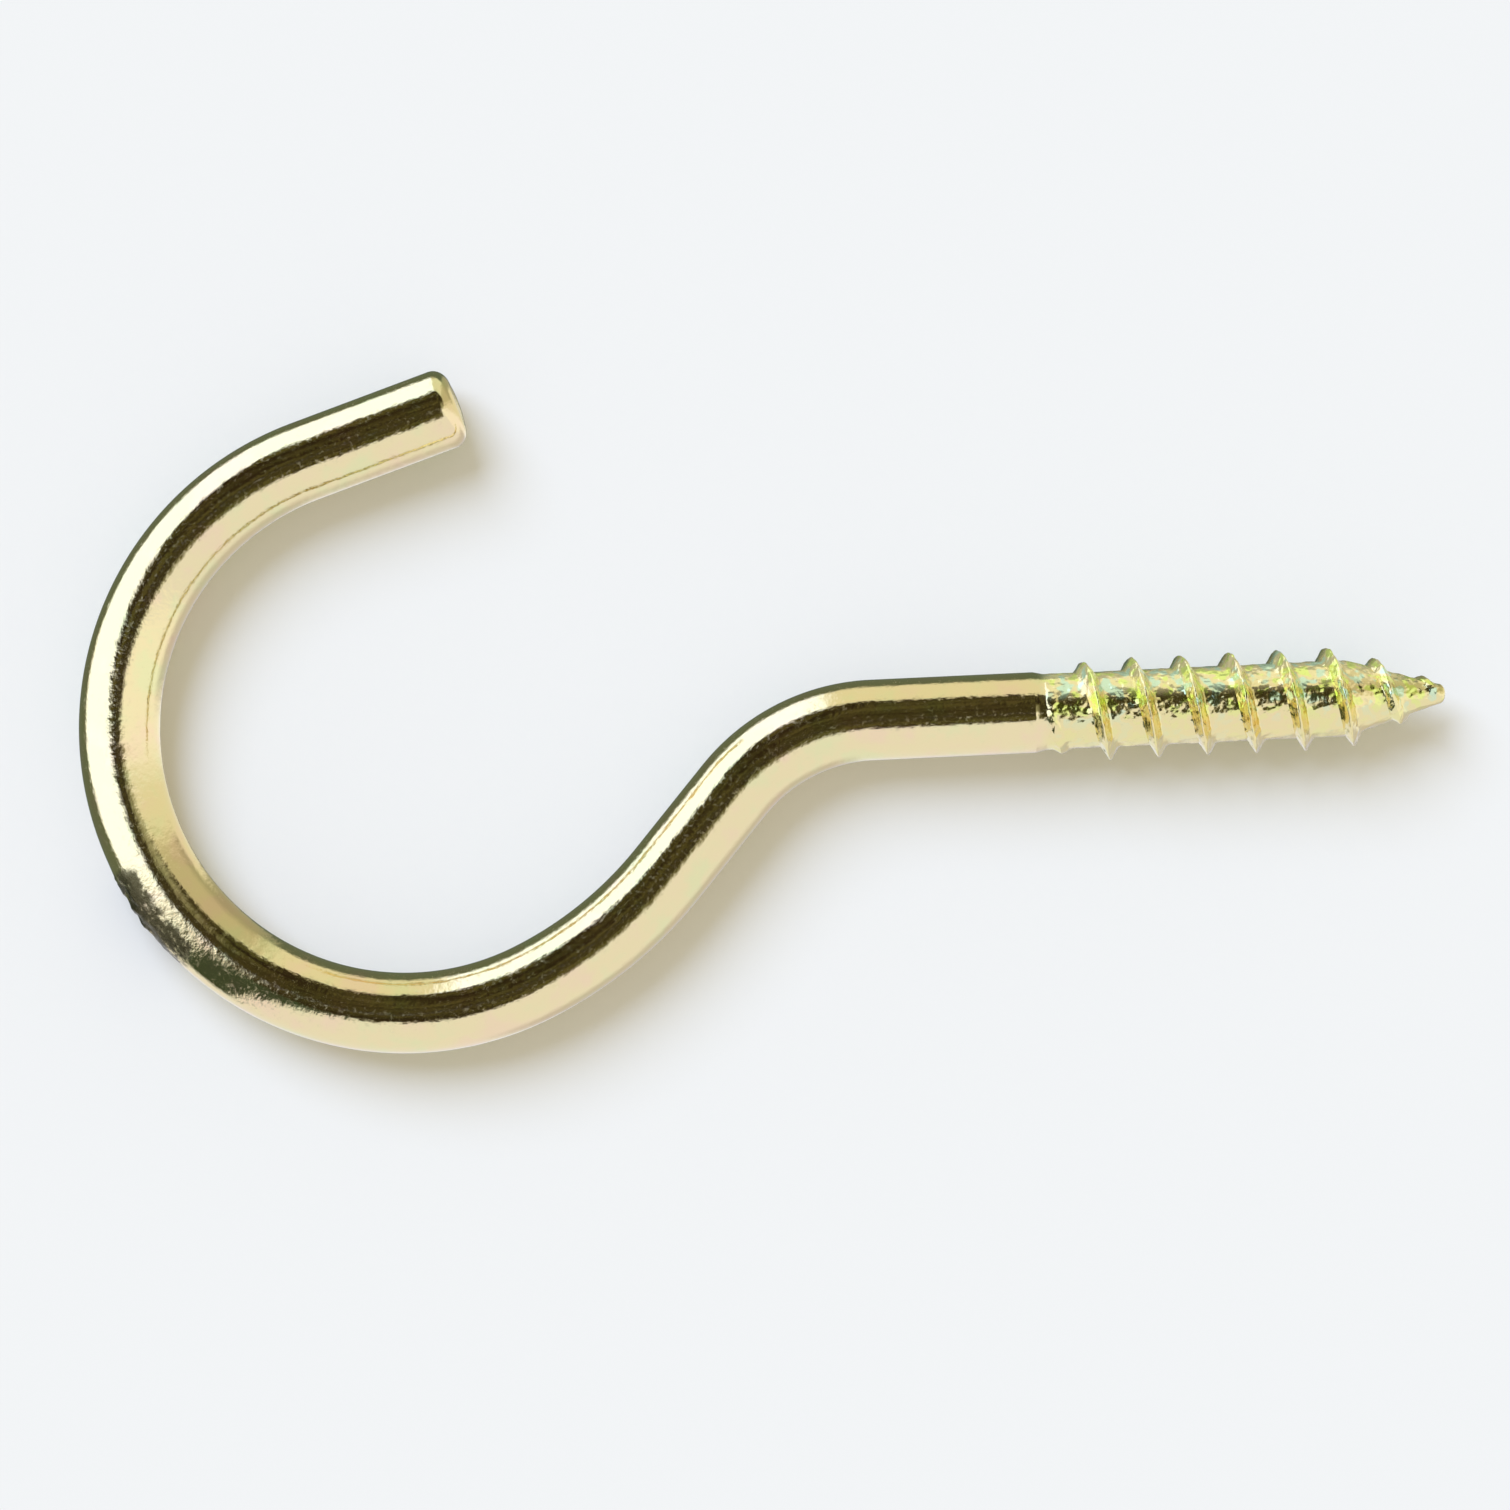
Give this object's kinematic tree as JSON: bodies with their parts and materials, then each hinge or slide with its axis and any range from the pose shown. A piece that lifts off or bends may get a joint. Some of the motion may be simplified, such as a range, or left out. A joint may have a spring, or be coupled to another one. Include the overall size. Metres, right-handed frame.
{
  "type": "screw hook",
  "caption": "Open round wire hook with an offset neck, a straight shank and a wood thread with a gimlet point.",
  "frame": {"origin": "on the screw's axis where the thread starts, at the end of the plain shank", "axes": "+X along the screw's axis to the point; +Z square to the flat plane of the hook, which lies on its side; +Y completes the frame and faces the side of the free end"},
  "size_m": [0.0604, 0.0301, 0.0046],
  "materials": {
    "plated_wire": "bright yellow plating over steel wire, near mirror, with fine drawing lines"
  },
  "bodies": {
    "root": {"hook": "plated_wire"}
  },
  "joints": []
}
